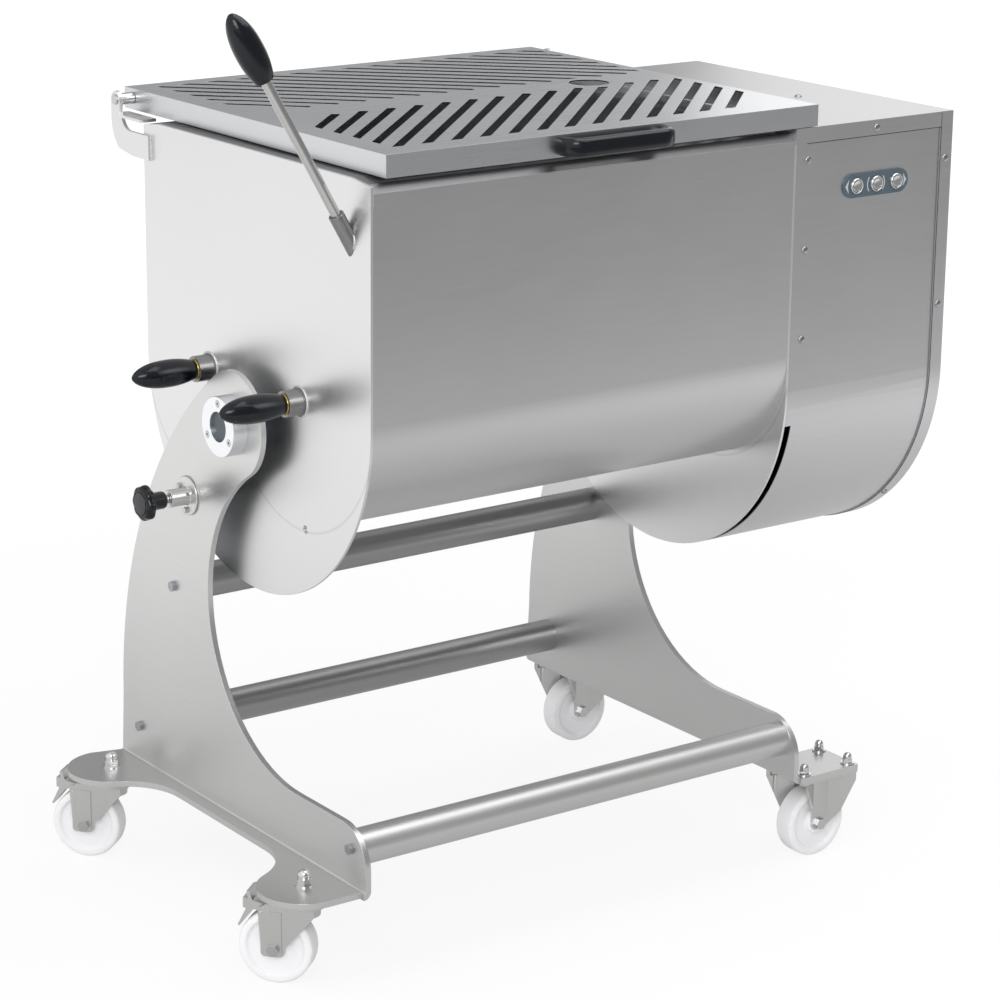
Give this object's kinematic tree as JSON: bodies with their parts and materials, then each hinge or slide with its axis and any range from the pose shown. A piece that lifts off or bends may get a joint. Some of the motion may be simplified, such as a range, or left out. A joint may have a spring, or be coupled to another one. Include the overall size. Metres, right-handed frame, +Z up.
{
  "type": "meat mixer",
  "caption": "Tilting twin-shaft meat mixer: stainless tub with a slotted herringbone lid and side drive housing, hung between two legs on casters",
  "frame": {"origin": "on the floor, under the middle of the machine's outline in plan", "axes": "+Z up; +X from the release grips to the drive housing; +Y towards the lid hinge, so the operator stands at -Y"},
  "size_m": [1.13, 0.6826, 1.2517],
  "materials": {
    "brushed_sheet": "satin brushed stainless sheet",
    "bright_steel": "turned or polished stainless",
    "cast_aluminium": "machined aluminium",
    "black_grip": "glossy blue-black moulding",
    "white_wheel": "white nylon",
    "drive_paint": "grey enamel",
    "control_face": "blue-grey anodised plate"
  },
  "bodies": {
    "frame": {"left_leg": "brushed_sheet", "right_leg": "brushed_sheet", "front_tube": "brushed_sheet", "rear_tube": "brushed_sheet", "upper_tube": "brushed_sheet", "tube_bolts": "bright_steel", "left_bearing": "cast_aluminium", "right_bearing": "cast_aluminium", "bearing_screws": "bright_steel", "plunger_barrel": "brushed_sheet", "caster_cap_nuts": "bright_steel", "front_fixed_fork": "brushed_sheet", "rear_fixed_fork": "brushed_sheet", "fixed_caster_bolts": "bright_steel"},
    "tub": {"left_end_plate": "brushed_sheet", "trough": "brushed_sheet", "tub_rim": "brushed_sheet", "bulkhead": "brushed_sheet", "housing_wrap": "brushed_sheet", "housing_top": "brushed_sheet", "end_cover": "brushed_sheet", "housing_screws": "bright_steel", "control_plate": "control_face", "left_trunnion": "bright_steel", "right_trunnion": "bright_steel", "gearbox": "drive_paint", "motor": "drive_paint", "drive_posts": "brushed_sheet", "lever_socket": "brushed_sheet", "lever_rod": "bright_steel", "lever_grip": "black_grip", "hinge_brackets": "brushed_sheet", "hinge_pins": "bright_steel", "release_bosses": "brushed_sheet", "shaft_bearings": "bright_steel"},
    "lid": {"lid_panel": "brushed_sheet", "lid_handle": "black_grip"},
    "front_shaft": {"front_agitator": "bright_steel", "front_gear": "drive_paint"},
    "rear_shaft": {"rear_agitator": "bright_steel", "rear_gear": "drive_paint"},
    "front_release": {"front_release_pin": "bright_steel", "front_release_grip": "black_grip"},
    "rear_release": {"rear_release_pin": "bright_steel", "rear_release_grip": "black_grip"},
    "start_press": {"start_button": "bright_steel"},
    "stop_press": {"stop_button": "bright_steel"},
    "reverse_press": {"reverse_button": "bright_steel"},
    "plunger": {"plunger_pin": "bright_steel", "plunger_knob": "black_grip"},
    "front_swivel": {"front_swivel_fork": "brushed_sheet", "front_swivel_axle": "bright_steel"},
    "rear_swivel": {"rear_swivel_fork": "brushed_sheet", "rear_swivel_axle": "bright_steel"},
    "front_brake": {"front_brake_pedal": "brushed_sheet"},
    "rear_brake": {"rear_brake_pedal": "brushed_sheet"},
    "left_front_roll": {"left_front_wheel": "white_wheel"},
    "left_rear_roll": {"left_rear_wheel": "white_wheel"},
    "right_front_roll": {"right_front_wheel": "white_wheel"},
    "right_rear_roll": {"right_rear_wheel": "white_wheel"}
  },
  "joints": [
    {"name": "tub_tilt", "type": "hinge", "parent": "frame", "child": "tub", "pos_m": [-0.06599, -0.02375, 0.683], "axis": [1, 0, 0], "range_deg": [0, 90]},
    {"name": "lid_hinge", "type": "hinge", "parent": "tub", "child": "lid", "pos_m": [-0.02699, 0.31925, 1.06], "axis": [-1, 0, 0], "range_deg": [0, 95]},
    {"name": "rear_shaft_turn", "type": "hinge", "parent": "tub", "child": "rear_shaft", "pos_m": [-0.02699, 0.08725, 0.733], "axis": [1, 0, 0], "continuous": true},
    {"name": "front_shaft_turn", "type": "hinge", "parent": "tub", "child": "front_shaft", "pos_m": [-0.02699, -0.13475, 0.733], "axis": [1, 0, 0], "continuous": true},
    {"name": "front_release_pull", "type": "slide", "parent": "tub", "child": "front_release", "axis": [-1, 0, 0], "range_m": [0, 0.04]},
    {"name": "rear_release_pull", "type": "slide", "parent": "tub", "child": "rear_release", "axis": [-1, 0, 0], "range_m": [0, 0.04]},
    {"name": "start_push", "type": "slide", "parent": "tub", "child": "start_press", "axis": [0, 1, 0], "range_m": [0, 0.003], "stiffness_N_per_m": 600},
    {"name": "stop_push", "type": "slide", "parent": "tub", "child": "stop_press", "axis": [0, 1, 0], "range_m": [0, 0.003], "stiffness_N_per_m": 600},
    {"name": "reverse_push", "type": "slide", "parent": "tub", "child": "reverse_press", "axis": [0, 1, 0], "range_m": [0, 0.003], "stiffness_N_per_m": 600},
    {"name": "plunger_push", "type": "slide", "parent": "frame", "child": "plunger", "axis": [1, 0, 0], "range_m": [0, 0.0055]},
    {"name": "front_swivel_turn", "type": "hinge", "parent": "frame", "child": "front_swivel", "pos_m": [-0.47499, -0.26675, 0.127], "axis": [0, 0, 1], "continuous": true},
    {"name": "rear_swivel_turn", "type": "hinge", "parent": "frame", "child": "rear_swivel", "pos_m": [-0.47399, 0.23925, 0.127], "axis": [0, 0, 1], "continuous": true},
    {"name": "front_brake_press", "type": "hinge", "parent": "front_swivel", "child": "front_brake", "pos_m": [-0.50713, -0.22845, 0.103], "axis": [-0.766, -0.6428, 0], "range_deg": [0, 4]},
    {"name": "rear_brake_press", "type": "hinge", "parent": "rear_swivel", "child": "rear_brake", "pos_m": [-0.50613, 0.27755, 0.103], "axis": [-0.766, -0.6428, 0], "range_deg": [0, 4]},
    {"name": "left_front_axle", "type": "hinge", "parent": "front_swivel", "child": "left_front_roll", "pos_m": [-0.49749, -0.23994, 0.05], "axis": [-0.766, -0.6428, 0], "continuous": true},
    {"name": "left_rear_axle", "type": "hinge", "parent": "rear_swivel", "child": "left_rear_roll", "pos_m": [-0.49649, 0.26606, 0.05], "axis": [-0.766, -0.6428, 0], "continuous": true},
    {"name": "right_front_axle", "type": "hinge", "parent": "frame", "child": "right_front_roll", "pos_m": [0.35326, -0.29975, 0.05], "axis": [0, 1, 0], "continuous": true},
    {"name": "right_rear_axle", "type": "hinge", "parent": "frame", "child": "right_rear_roll", "pos_m": [0.35326, 0.25225, 0.05], "axis": [0, 1, 0], "continuous": true}
  ],
  "couplings": [
    {"joint": "front_shaft_turn", "follows": "rear_shaft_turn", "ratio": -1}
  ]
}
